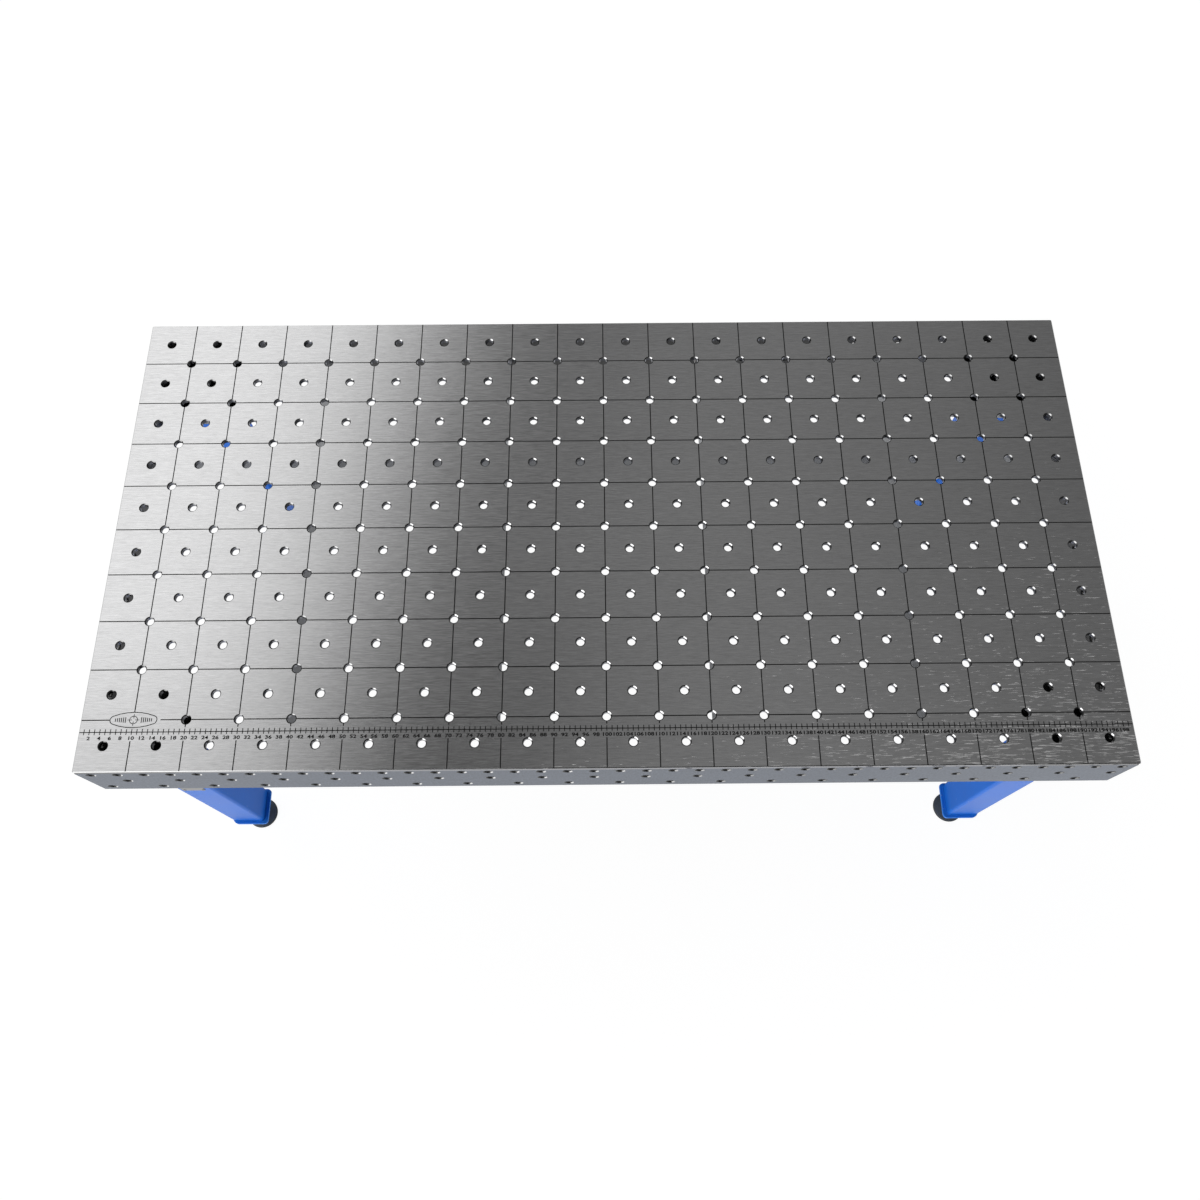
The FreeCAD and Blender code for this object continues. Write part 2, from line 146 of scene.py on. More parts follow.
class Graph:
    """The node tree of a material or a world, built from small calls."""

    def __init__(self, owner, output_kind):
        self.owner = owner
        owner.use_nodes = True
        self.tree = owner.node_tree
        self.tree.nodes.clear()
        self.output = self.node(output_kind)

    def node(self, kind, inputs=None, **settings):
        node = self.tree.nodes.new("ShaderNode" + kind)
        for key, value in settings.items():
            setattr(node, key, value)
        for key, value in (inputs or {}).items():
            if isinstance(value, Signal):
                self.tree.links.new(value.socket, node.inputs[key])
            else:
                node.inputs[key].default_value = value
        return node

    def signal(self, kind, inputs=None, output=0, **settings):
        return Signal(self, self.node(kind, inputs, **settings).outputs[output])

    def show(self, shader):
        self.tree.links.new(shader.socket, self.output.inputs[0])

    def math(self, operation, first, second=0.0, third=0.0):
        return self.signal("Math", {0: first, 1: second, 2: third}, operation=operation)

    def axes(self, vector):
        node = self.node("SeparateXYZ", {0: vector})
        return [Signal(self, socket) for socket in node.outputs]

    def mix(self, mask, under, over):
        """Colour mix; a plain colour is given as (r, g, b)."""
        under, over = ((*colour, 1.0) if isinstance(colour, tuple) else colour
                       for colour in (under, over))
        return self.signal("Mix", {0: mask, 6: under, 7: over}, output=2, data_type="RGBA")

    def mix_value(self, mask, under, over):
        return self.signal("Mix", {0: mask, 2: under, 3: over}, data_type="FLOAT")

    def grey(self, value, tint=(1.0, 1.0, 1.0)):
        return self.signal("CombineColor", {i: value * tint[i] for i in range(3)})

    def camera_ray(self):
        return self.signal("LightPath", output="Is Camera Ray")


class Material(Graph):
    def __init__(self, name):
        super().__init__(bpy.data.materials.new(name), "OutputMaterial")
        self.point = self.signal("TexCoord", output="Object")

    def point_axes(self):
        return self.axes(self.point)

    def face_axes(self):
        """The X, Y and Z parts of the true face normal."""
        return self.axes(self.signal("NewGeometry", output="True Normal"))

    def noise(self, scale=1.0, detail=2.0, rough=0.5, distortion=0.0, stretch=None,
              shift=(0.0, 0.0, 0.0)):
        """Noise over the object; stretch gives a frequency for each axis."""
        where = self.point
        if stretch:
            where = self.signal("Mapping", {"Vector": where, "Scale": stretch, "Location": shift})
        return self.signal("TexNoise", {"Vector": where, "Scale": scale, "Detail": detail,
                                        "Roughness": rough, "Distortion": distortion})

    def bump(self, height, distance, strength, normal=None):
        inputs = {"Height": height, "Distance": distance, "Strength": strength}
        if normal is not None:
            inputs["Normal"] = normal
        return self.signal("Bump", inputs)

    def finish(self, colour, metal, rough, normal, specular=0.5):
        self.show(self.signal("BsdfPrincipled", {
            "Base Color": colour, "Metallic": metal, "Roughness": rough, "Normal": normal,
            "Specular IOR Level": specular}))
        return self.owner


# ---------------------------------------------------------------- materials
def ground_steel():
    """Ground plate: grain along X, scratches, dark scribed lines, painted shade on the walls of
    the holes and painted highlights on the chamfers.
    """
    mat = Material("ground_steel_worn")
    x, y, z = mat.point_axes()
    face_x, face_y, face_z = mat.face_axes()
    fine = mat.noise(stretch=(32.0, 500.0, 32.0), detail=3.0, rough=0.65)
    mid = mat.noise(stretch=(4.0, 210.0, 4.0), shift=(3.1, 0.7, 0.0), detail=3.0, rough=0.55)
    wide = mat.noise(stretch=(1.1, 30.0, 1.1), shift=(9.0, 2.0, 0.0))
    cloud = mat.noise(scale=2.6, detail=4.0, rough=0.6)
    hair = mat.noise(stretch=(78.0, 860.0, 78.0), shift=(2.0, 1.0, 5.0), rough=0.7)
    tone = fine.vary(swing=0.34, around=0.60)
    tone = hair.vary(swing=0.26, around=tone)
    tone = mid.vary(swing=0.05, around=tone)
    tone = wide.vary(swing=0.02, around=tone)
    tone = cloud.vary(swing=0.04, around=tone)

    # pale drag scratches, denser towards the front right corner
    streak = mat.noise(stretch=(44.0, 600.0, 44.0), shift=(0.0, 5.3, 1.0))
    patch = mat.noise(stretch=(5.0, 11.0, 5.0), shift=(4.4, 8.1, 0.0), detail=3.0, rough=0.6)
    place = x.times(0.60, plus=y.times(-1.20, plus=-0.45))
    amount = patch.vary(swing=0.8, around=place).fade(start=0.0, end=0.85)
    worn = y.fade(start=-0.40, end=-0.47) * x.fade(start=0.15, end=0.55)
    amount = worn.times(0.22, plus=amount).minimum(1.0)
    hit = amount.times(0.160, plus=streak).fade(start=0.735, end=0.760)
    hit = hit * amount.fade(start=0.01, end=0.10)
    tone = hit.times(0.60, plus=tone)
    colour = mat.grey(tone, tint=(1.0, 1.0, 1.006))
    rough = fine.vary(swing=0.10, around=0.18)
    rough = cloud.vary(swing=0.04, around=rough)
    rough = hit.times(0.42, plus=rough)

    # scribed lines: floor and walls of the grooves, 0.12 to 0.65 mm below the surface
    below = (z < TOP_Z - 0.00012) * (z > TOP_Z - 0.00065)
    square = (face_z > 0.95).maximum(abs(face_z) < 0.2)
    groove = below * square
    soot = mat.noise(stretch=(60.0, 60.0, 60.0), detail=3.0, rough=0.6)
    colour = mat.mix(groove, colour, mat.grey(soot.times(0.026, plus=0.003)))

    # walls of the holes: fine upright drag lines; their dark tone is painted shade inside the
    # holes, darkest over the corner boxes as painted shade of the closed boxes
    wall = (z < TOP_Z - 0.0018) * (abs(face_z) < 0.3)
    drag = mat.noise(stretch=(900.0, 900.0, 60.0))
    closed = abs(x).fade(start=0.78, end=0.82) * abs(y).fade(start=0.29, end=0.33)
    shade = closed.times(-0.80, plus=1.0)
    wall_tone = drag.times(0.10, plus=0.10) * shade
    colour = mat.mix(wall, colour, mat.grey(wall_tone, tint=(0.95, 0.98, 1.10)))
    rough = wall.times(0.10, plus=rough)

    # chamfers of holes and rim: painted highlight where they face the front left or lie along the
    # front rim, weaker at the ends named by x; elsewhere a dull grey, a painted dark reflection
    lean = (face_z > 0.5) * (face_z < 0.9)
    painted_highlight = face_x.fade(start=-0.06, end=-0.20) * face_y.fade(start=-0.22, end=-0.34)
    rim = (face_y < -0.66) * (y < Y0 + 0.0020)
    painted_highlight = painted_highlight * x.fade(start=-0.80, end=-0.25, low=0.22, high=1.0)
    rim_painted_highlight = rim * x.fade(start=0.25, end=-0.10, low=0.08, high=0.60, smooth=True)
    painted_highlight = painted_highlight.maximum(rim_painted_highlight)
    speckle = mat.noise(stretch=(300.0, 300.0, 300.0))
    # turned holds the painted highlight over a dull chamfer grey
    turned = painted_highlight.times(0.66, plus=speckle.times(0.10, plus=0.17))
    colour = mat.mix(lean, colour, mat.grey(turned))
    rough = (lean * painted_highlight).times(-0.06, plus=rough)

    # the underside keeps the mill finish
    under = face_z < -0.9
    scale = mat.noise(scale=34.0, detail=5.0, rough=0.62)
    colour = mat.mix(under, colour,
                     mat.grey(scale.times(0.16, plus=0.17), tint=(1.0, 1.01, 1.04)))
    rough = under.times(0.22, plus=rough)
    metal = 1.0 - groove * 0.9
    rough = groove.times(0.35, plus=rough)
    grain = mat.bump(mid.times(0.6, plus=fine), distance=0.00004, strength=0.35)
    scratch = mat.bump(hit, distance=0.00006, strength=0.5, normal=grain)
    return mat.finish(colour, metal, rough, scratch, specular=groove.times(-0.38, plus=0.5))


def blasted_steel():
    """Fine blasted grey of the skirts with plain cut edges; painted light on the ends, painted
    shade on the inner faces and hole walls, painted highlights on the outer chamfers.
    """
    mat = Material("blasted_steel_speckled")
    face_x, face_y, face_z = mat.face_axes()
    x, y, z = mat.point_axes()
    speck = mat.noise(stretch=(250.0, 250.0, 85.0), detail=3.0, rough=0.75)
    grit = mat.noise(scale=1500.0)
    blotch = mat.noise(stretch=(6.0, 6.0, 14.0), detail=4.0, rough=0.6)
    tone = speck.vary(swing=0.28, around=0.186)
    tone = grit.vary(swing=0.08, around=tone)
    tone = blotch.vary(swing=0.03, around=tone)
    tone = speck.fade(start=0.66, end=0.74).times(0.06, plus=tone)
    # paler towards the ends of the table: painted light, where the skirts catch more light
    tone = tone * abs(x).fade(start=0.35, end=0.95, low=0.90, high=1.0, smooth=True)
    colour = mat.grey(tone, tint=(0.885, 0.985, 1.18))

    # painted shade: the inner faces, 12 mm in, are darker, and darkest in the corners inside the
    # closed boxes
    away_x, away_y = abs(x), abs(y)
    inner = (away_x < HALF_X - 0.0119) * (away_y < HALF_Y - 0.0119)
    corner_painted_shade = (away_x > 0.80) * (away_y > 0.30)
    colour = mat.mix(inner, colour, mat.grey(tone * corner_painted_shade.times(-0.42, plus=0.60)))

    # the flat upper and lower edges of the plates are plain cut steel
    edge = abs(face_z) > 0.9
    cut = mat.noise(stretch=(30.0, 300.0, 30.0), detail=3.0, rough=0.6)
    colour = mat.mix(edge, colour, mat.grey(cut.times(0.16, plus=0.24), tint=(1.0, 0.99, 0.94)))
    rough = speck.vary(swing=0.18, around=0.52)
    rough = edge.times(-0.10, plus=rough)

    # hole walls are painted near black as shade inside the holes: faces within a skirt that run
    # across its thickness
    across_x, across_y = abs(face_x), abs(face_y)
    away_x, away_y = abs(x), abs(y)
    long_skirt = (away_y > HALF_Y - 0.0122) * (away_x < HALF_X - 0.0125)
    end_skirt = (away_x > HALF_X - 0.0122) * (away_y < HALF_Y - 0.0125)
    in_hole = (long_skirt * (across_y < 0.3)).maximum(end_skirt * (across_x < 0.3))
    in_hole = in_hole * (abs(face_z) < 0.999)
    colour = mat.mix(in_hole * (1.0 - edge), colour, mat.grey(grit.times(0.03, plus=0.020)))

    # outer chamfers carry a painted highlight at the lower right of each hole, seen from outside,
    # stronger to the left; elsewhere a painted dark chamfer
    lean_long = long_skirt * ((across_y > 0.5) * (across_y < 0.9))
    lean_end = end_skirt * ((across_x > 0.5) * (across_x < 0.9))
    lean = lean_long.maximum(lean_end)
    long_left = (face_x * (face_y * -1.0).sign()).fade(start=-0.22, end=-0.40)
    end_left = (face_y * face_x.sign()).fade(start=-0.22, end=-0.40)
    faces_left = (lean_long * long_left).maximum(lean_end * end_left)
    painted_highlight = ((faces_left * face_z.fade(start=0.10, end=0.28))
              * x.fade(start=0.45, end=-0.15, low=0.30, high=0.92, smooth=True))
    outer = (away_x > HALF_X - 0.0040).maximum(away_y > HALF_Y - 0.0040)
    painted_highlight = painted_highlight * outer
    # turned holds the painted highlight over a dark chamfer grey
    turned = painted_highlight.times(0.72, plus=grit.times(0.05, plus=0.045))
    colour = mat.mix(lean, colour, mat.grey(turned))
    rough = lean.times(-0.24, plus=rough)
    metal = lean.times(0.15, plus=0.85)
    normal = mat.bump(grit.times(0.5, plus=speck), distance=0.00006,
                      strength=lean.times(-0.30, plus=0.35))
    return mat.finish(colour, metal, rough, normal)


def mill_steel():
    """Dark rolled plate with mottled mill scale, a few rubbed patches and painted shade on low
    upward faces and in the corner boxes.
    """
    mat = Material("mill_steel_scale")
    blot = mat.noise(scale=22.0, detail=6.0, rough=0.62, distortion=0.4)
    fine = mat.noise(scale=260.0, detail=3.0, rough=0.6)
    rub = mat.noise(stretch=(30.0, 30.0, 8.0), detail=4.0, rough=0.55)
    tone = blot.vary(swing=0.14, around=0.235)
    tone = fine.vary(swing=0.07, around=tone)
    tone = rub.fade(start=0.58, end=0.70).times(0.08, plus=tone)
    colour = mat.grey(tone, tint=(0.97, 1.0, 1.05))
    # painted shade: near black on low upward faces and all through the corner boxes, where little
    # light reaches
    x, y, z = mat.point_axes()
    face_z = mat.face_axes()[2]
    painted_shade_mask = (face_z > 0.9) * (z < TOP_Z - 0.05)
    box_painted_shade = (abs(x) > 0.785) * (abs(y) > 0.285)
    box_painted_shade = (box_painted_shade * (z > SKIRT_Z0 + 0.018)) * (z < PLATE_Z + 0.0005)
    painted_shade_mask = painted_shade_mask.maximum(box_painted_shade * 0.92)
    colour = mat.mix(painted_shade_mask, colour, mat.grey(blot.times(0.014, plus=0.003)))
    rough = blot.vary(swing=0.25, around=0.50)
    normal = mat.bump(fine.times(0.5, plus=blot), distance=0.00008, strength=0.4)
    return mat.finish(colour, 0.75, rough, normal)


def blue_coat(name, dark, light, specular):
    """Satin powder coat: orange peel, slight colour drift between two blues, pale nibs."""
    mat = Material(name)
    peel = mat.noise(scale=330.0)
    fine_peel = mat.noise(scale=900.0, detail=1.0)
    drift = mat.noise(scale=9.0, detail=3.0, rough=0.6)
    nib = mat.noise(scale=150.0, detail=1.0, rough=0.4).fade(start=0.735, end=0.775)
    colour = mat.mix(drift.fade(start=0.3, end=0.7), dark, light)
    colour = mat.mix(peel.fade(start=0.35, end=0.65) * 0.14, colour, (0.036, 0.200, 0.830))
    colour = mat.mix(nib * 0.55, colour, (0.30, 0.42, 0.80))
    rough = fine_peel.vary(swing=0.14, around=0.36)
    rough = drift.vary(swing=0.08, around=rough)
    normal = mat.bump(fine_peel.times(0.25, plus=peel), distance=0.00010, strength=0.30)
    return mat.finish(colour, 0.0, rough, normal, specular)


def zinc():
    """Bright zinc plating with a soft cloudy spangle."""
    mat = Material("zinc_plated")
    cloud = mat.noise(scale=70.0, detail=4.0, rough=0.6, distortion=0.6)
    cells = mat.signal("TexVoronoi", {"Vector": mat.point, "Scale": 420.0}, output="Color",
                       feature="F1")
    spangle = mat.signal("SeparateColor", {0: cells})
    fine = mat.noise(scale=900.0, rough=0.6)
    tone = cloud.vary(swing=0.20, around=0.60)
    tone = spangle.vary(swing=0.07, around=tone)
    tone = fine.vary(swing=0.06, around=tone)
    colour = mat.grey(tone, tint=(0.99, 1.0, 1.03))
    rough = cloud.vary(swing=0.22, around=0.34)
    return mat.finish(colour, 1.0, rough, mat.bump(fine, distance=0.00003, strength=0.3))


def bronze():
    """Turned bronze with fine rings 0.4 mm apart and a little brown oxide."""
    mat = Material("bronze_turned")
    z = mat.point_axes()[2]
    ring = (z * (2 * math.pi / 0.0004)).sine()
    tarnish = mat.noise(scale=120.0, detail=4.0, rough=0.6)
    colour = mat.mix(tarnish.fade(start=0.35, end=0.7), (0.62, 0.40, 0.17), (0.30, 0.17, 0.07))
    rough = tarnish.vary(swing=0.25, around=0.34)
    return mat.finish(colour, 1.0, rough, mat.bump(ring, distance=0.00001, strength=0.5))


def dark_foot():
    """Charcoal coated foot disc with fine texture and light scuffs."""
    mat = Material("charcoal_foot_coat")
    grain = mat.noise(scale=700.0, detail=3.0, rough=0.6)
    blot = mat.noise(scale=45.0, detail=4.0, rough=0.6)
    scuff = mat.noise(stretch=(90.0, 90.0, 400.0), detail=3.0, rough=0.6)
    tone = blot.vary(swing=0.032, around=0.100)
    tone = grain.vary(swing=0.032, around=tone)
    tone = scuff.fade(start=0.62, end=0.72).times(0.045, plus=tone)
    colour = mat.grey(tone, tint=(0.86, 1.0, 1.22))
    rough = grain.vary(swing=0.20, around=0.50)
    return mat.finish(colour, 0.0, rough, mat.bump(grain, distance=0.00006, strength=0.4))


def rubber():
    """Moulded black rubber, dusty in the lowest 2.5 mm."""
    mat = Material("moulded_rubber")
    z = mat.point_axes()[2]
    grain = mat.noise(scale=1100.0, rough=0.6)
    cover = mat.noise(scale=160.0, detail=4.0, rough=0.6)
    dust = z.fade(start=0.0025, end=0.0) * cover.fade(start=0.4, end=0.7)
    black = mat.grey(grain.times(0.012, plus=0.010))
    colour = mat.mix(dust * 0.35, black, (0.20, 0.19, 0.17))
    rough = grain.vary(swing=0.15, around=0.78)
    normal = mat.bump(grain, distance=0.00005, strength=0.4)
    return mat.finish(colour, 0.0, rough, normal, specular=0.3)


def aluminium():
    """Satin plate brushed across, with dull specks."""
    mat = Material("satin_aluminium")
    brush = mat.noise(stretch=(20.0, 20.0, 1400.0), detail=3.0, rough=0.6)
    spot = mat.noise(scale=210.0, detail=3.0, rough=0.6).fade(start=0.62, end=0.74)
    tone = brush.vary(swing=0.12, around=0.235)
    tone = spot.times(-0.13, plus=tone)
    colour = mat.grey(tone, tint=(1.0, 0.985, 0.94))
    rough = brush.vary(swing=0.18, around=0.38)
    return mat.finish(colour, 0.9, rough, mat.bump(brush, distance=0.00003, strength=0.35))


def mark_black():
    """Dark, slightly uneven oxide of the marks on the top."""
    mat = Material("laser_mark_black")
    grain = mat.noise(scale=700.0, detail=3.0, rough=0.7)
    blot = mat.noise(scale=90.0, detail=3.0, rough=0.6)
    tone = grain.times(0.020, plus=0.002)
    tone = blot.fade(start=0.5, end=0.8).times(0.014, plus=tone)
    rough = grain.vary(swing=0.2, around=0.62)
    normal = mat.bump(grain, distance=0.00003, strength=0.4)
    return mat.finish(mat.grey(tone), 0.10, rough, normal, specular=0.18)


def weld_steel():
    """Bare weld metal: straw, silver and blue heat tint in patches."""
    mat = Material("weld_metal")
    tint = mat.noise(scale=60.0, detail=4.0, rough=0.6, distortion=0.8)
    fine = mat.noise(scale=900.0, detail=3.0, rough=0.6)
    straw, silver, blue, pale = ((0.30, 0.24, 0.17), (0.36, 0.35, 0.34), (0.17, 0.20, 0.28),
                                 (0.50, 0.49, 0.47))
    colour = mat.mix(tint.fade(start=0.30, end=0.50), straw, silver)
    colour = mat.mix(tint.fade(start=0.52, end=0.70), colour, blue)
    colour = mat.mix(fine.fade(start=0.4, end=0.8) * 0.25, colour, pale)
    rough = fine.vary(swing=0.25, around=0.42)
    return mat.finish(colour, 0.9, rough, mat.bump(fine, distance=0.00004, strength=0.4))


def black_oxide():
    """Oiled black-oxide look for the fixings and welds inside the corner boxes, kept near black
    as painted shade of the closed boxes.
    """
    mat = Material("black_oxide_oiled")
    grain = mat.noise(scale=500.0, detail=3.0, rough=0.6)
    rub = mat.noise(scale=140.0, detail=3.0, rough=0.6).fade(start=0.60, end=0.74)
    tone = rub.times(0.03, plus=grain.times(0.016, plus=0.006))
    rough = grain.vary(swing=0.2, around=0.5)
    normal = mat.bump(grain, distance=0.00004, strength=0.4)
    return mat.finish(mat.grey(tone, tint=(1.0, 1.0, 1.06)), 0.6, rough, normal, specular=0.2)


MATERIALS = {
    "ground_steel": ground_steel(),
    "blasted_steel": blasted_steel(),
    "mill_steel": mill_steel(),
    "blue_powder_coat": blue_coat("blue_powder_coat_satin", dark=(0.010, 0.162, 0.745),
                                  light=(0.013, 0.186, 0.810), specular=0.105),
    "zinc_steel": zinc(),
    "bronze_bush": bronze(),
    "dark_foot": dark_foot(),
    "rubber": rubber(),
    "aluminium": aluminium(),
}
MARK = mark_black()
WELD = weld_steel()
BOX_SHADE_BLACK = black_oxide()
# painted light: a brighter, more saturated copy of the leg blue for the base plates, standing in
# for light on their lips
BASE_BLUE_PAINTED_LIGHT = blue_coat("blue_powder_coat_base_plate", dark=(0.026, 0.272, 1.000),
                      light=(0.034, 0.296, 1.000), specular=0.14)


def dress_frame():
    """Gives every ready-made piece the material of its slot, with a few exceptions."""
    slot_of = {part["node"]: part["material_slot"] for part in frame["record"]["subparts"]}
    for name, obj in frame["nodes"].items():
        material = MATERIALS[slot_of[name]]
        # base plates take the brighter copy of the blue, as painted light
        if name.endswith("_leg_base"):
            material = BASE_BLUE_PAINTED_LIGHT
        # fixings in the corner boxes go near black, as painted shade
        elif name in ("leg_bolt_nuts", "leg_bolts", "leg_bolt_washers"):
            material = BOX_SHADE_BLACK
        if not obj.material_slots:
            obj.data.materials.append(material)
        for slot in obj.material_slots:
            slot.link = "OBJECT"
            slot.material = material


dress_frame()


# ---------------------------------------------------------------- meshes
class Shape:
    """Vertices and faces collected for one object."""

    def __init__(self):
        self.verts = []
        self.faces = []

    def lathe(self, rings):
        """Joins rings of equal count into a closed solid, with a point at each end."""
        start, count = len(self.verts), len(rings[0])
        for ring in rings:
            self.verts.extend(ring)
        for i in range(len(rings) - 1):
            for j in range(count):
                a = start + i * count + j
                b = start + i * count + (j + 1) % count
                self.faces.append((a, b, b + count, a + count))
        for row, flip in ((0, True), (len(rings) - 1, False)):
            tip, first = len(self.verts), start + row * count
            middle = Vector((0.0, 0.0, 0.0))
            for j in range(count):
                middle += Vector(self.verts[first + j])
            self.verts.append(tuple(middle / count))
            for j in range(count):
                face = (first + j, first + (j + 1) % count, tip)
                self.faces.append(tuple(reversed(face)) if flip else face)

    def bar(self, low, high):
        """A closed box between two corners."""
        start = len(self.verts)
        for z in (low[2], high[2]):
            self.verts.extend([(low[0], low[1], z), (high[0], low[1], z),
                               (high[0], high[1], z), (low[0], high[1], z)])
        for face in ((3, 2, 1, 0), (4, 5, 6, 7), (0, 1, 5, 4),
                     (1, 2, 6, 5), (2, 3, 7, 6), (3, 0, 4, 7)):
            self.faces.append(tuple(start + i for i in face))


def build(name, shape, material, body="frame", smooth_angle=None):
    """Makes the object; smooth_angle in degrees, or None for flat faces."""
    mesh = bpy.data.meshes.new(name)
    mesh.from_pydata([tuple(point) for point in shape.verts], [], shape.faces)
    mesh.update()
    edit = bmesh.new()
    edit.from_mesh(mesh)
    bmesh.ops.recalc_face_normals(edit, faces=edit.faces)
    edit.to_mesh(mesh)
    edit.free()
    obj = bpy.data.objects.new(name, mesh)
    bpy.context.scene.collection.objects.link(obj)
    mesh.materials.append(material)
    if smooth_angle is not None:
        for polygon in mesh.polygons:
            polygon.use_smooth = True
        mesh.set_sharp_from_angle(angle=math.radians(smooth_angle))
    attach(obj, body)
    return obj


# ---------------------------------------------------------------- levelling spindles, in mm
SPINDLE_SEGMENTS = 60
THREAD_RADIUS, THREAD_ROOT, THREAD_PITCH = 8.0, 6.75, 2.0
THREAD_LEAD = 3.0  # height over which the thread grows to full depth
TIP_CHAMFER = 1.5
HEX_Z0, HEX_Z1 = 32.0, 42.0
HEX_FLAT = 12.0  # centre to flat
HEX_TURNED = 11.7  # radius of the turned end faces of the hexagon
HEX_STEPS = (0.0, 0.25, 0.5, 0.75, 1.0, 1.25)  # ring distances in from each end face


def hex_radius(angle):
    from_flat = (math.degrees(angle) + 30.0) % 60.0 - 30.0
    return HEX_FLAT / math.cos(math.radians(from_flat))


def thread_radius(angle, height, top):
    turn = (height / THREAD_PITCH - angle / (2 * math.pi)) % 1.0
    if turn < 0.125:  # crest
        depth = 1.0
    elif turn < 0.45:
        depth = 1.0 - (turn - 0.125) / 0.325
    elif turn < 0.675:  # root
        depth = 0.0
    else:
        depth = (turn - 0.675) / 0.325
    lead = min(1.0, max(0.0, (height - HEX_Z1 - 0.4) / THREAD_LEAD))
    cap = THREAD_RADIUS - max(0.0, height - (top - TIP_CHAMFER))
    return min(THREAD_ROOT + (THREAD_RADIUS - 0.02 - THREAD_ROOT) * depth * lead, cap)


def spindle(corner):
    low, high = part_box(corner + "_spindle")
    centre_x, centre_y = (low.x + high.x) / 2, (low.y + high.y) / 2
    bottom, top = low.z / MM, high.z / MM
    rings = []

    def ring(height, radius_at):
        points = []
        for j in range(SPINDLE_SEGMENTS):
            angle = 2 * math.pi * j / SPINDLE_SEGMENTS
            radius = radius_at(angle) * MM
            points.append((centre_x + radius * math.cos(angle),
                           centre_y + radius * math.sin(angle), height * MM))
        rings.append(points)

    # plain shank below the hexagon: height, radius
    for height, radius in ((bottom, 4.4), (bottom + 0.6, 4.98), (26.5, 4.98), (26.56, 5.4),
                           (26.56, 5.95), (27.0, 6.0), (HEX_Z0 - 0.7, 6.0),
                           (HEX_Z0 - 0.2, 6.2), (HEX_Z0, 6.7)):
        ring(height, lambda angle: radius)
    # hexagon with 30 degree turned ends; 1.732 is the chamfer's run per unit of height
    hex_rings = [(HEX_Z0 + step, step) for step in HEX_STEPS]
    hex_rings += [(HEX_Z1 - step, step) for step in reversed(HEX_STEPS)]
    for height, step in hex_rings:
        ring(height, lambda angle: min(hex_radius(angle), HEX_TURNED + 1.732 * step))
    ring(HEX_Z1, lambda angle: 7.4)
    ring(HEX_Z1 + 0.4, lambda angle: 6.9)
    height = HEX_Z1 + 0.65
    while height < top - 1e-6:
        ring(height, lambda angle: thread_radius(angle, height, top))
        height += THREAD_PITCH / 8.0
    ring(top, lambda angle: THREAD_RADIUS - TIP_CHAMFER)

    shape = Shape()
    shape.lathe(rings)
    obj = build(corner + "_threaded_spindle", shape, MATERIALS["zinc_steel"],
                body=corner + "_screw", smooth_angle=28.0)
    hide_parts(corner + "_spindle")


for corner_name in CORNERS:
    spindle(corner_name)


# ---------------------------------------------------------------- marks on the top
MARK_Z0, MARK_Z1 = TOP_Z - 0.0002, TOP_Z + 0.000045
SCALE_PITCH = 0.010
TICK_Y = -0.4233  # middle of the ticks
TICK_HALF_WIDTH, TICK_HALF_LENGTH = 0.0008, 0.0056
NUMBER_Y = -0.4389  # foot of the numbers
NUMBER_WIDTH, NUMBER_HEIGHT = 0.0108, 0.0073  # of two digits
NUMBER_SINK = 0.00007


def scale_ticks():
    shape = Shape()
    for i in range(1, 200):
        x = X0 + i * SCALE_PITCH
        shape.bar((x - TICK_HALF_WIDTH, TICK_Y - TICK_HALF_LENGTH, MARK_Z0),
                  (x + TICK_HALF_WIDTH, TICK_Y + TICK_HALF_LENGTH, MARK_Z1))
    build("scale_ticks", shape, MARK)


def number_mesh(number):
    """Points and faces of a number, centred on x = 0."""
    curve = bpy.data.curves.new("n", "FONT")
    curve.body = str(number)
    curve.size = 0.0100
    curve.align_x = "CENTER"
    curve.align_y = "BOTTOM_BASELINE"
    curve.extrude = 0.00012
    curve.offset = 0.00036
    curve.resolution_u = 3
    curve.space_character = 1.02
    obj = bpy.data.objects.new("n", curve)
    bpy.context.scene.collection.objects.link(obj)
    bpy.context.view_layer.update()
    depsgraph = bpy.context.evaluated_depsgraph_get()
    mesh = bpy.data.meshes.new_from_object(obj.evaluated_get(depsgraph))
    points = [vertex.co.copy() for vertex in mesh.vertices]
    faces = [tuple(polygon.vertices) for polygon in mesh.polygons]
    bpy.data.objects.remove(obj)
    bpy.data.curves.remove(curve)
    bpy.data.meshes.remove(mesh)
    return points, faces


def scale_numbers():
    # the number 10 sets the size of all the others
    sample = number_mesh(10)[0]
    sample_x, sample_y = [point.x for point in sample], [point.y for point in sample]
    foot = min(sample_y)
    stretch_x = NUMBER_WIDTH / (max(sample_x) - min(sample_x))
    stretch_y = NUMBER_HEIGHT / (max(sample_y) - foot)
    shape = Shape()
    for number in range(2, 200, 2):
        start = len(shape.verts)
        points, faces = number_mesh(number)
        for point in points:
            shape.verts.append((X0 + number * SCALE_PITCH + point.x * stretch_x,
                                NUMBER_Y + (point.y - foot) * stretch_y,
                                TOP_Z - NUMBER_SINK + point.z))
        for face in faces:
            shape.faces.append(tuple(start + i for i in face))
    obj = build("scale_numbers", shape, MARK)
    edit = bmesh.new()
    edit.from_mesh(obj.data)
    bmesh.ops.remove_doubles(edit, verts=edit.verts, dist=1e-7)
    edit.to_mesh(obj.data)
    edit.free()


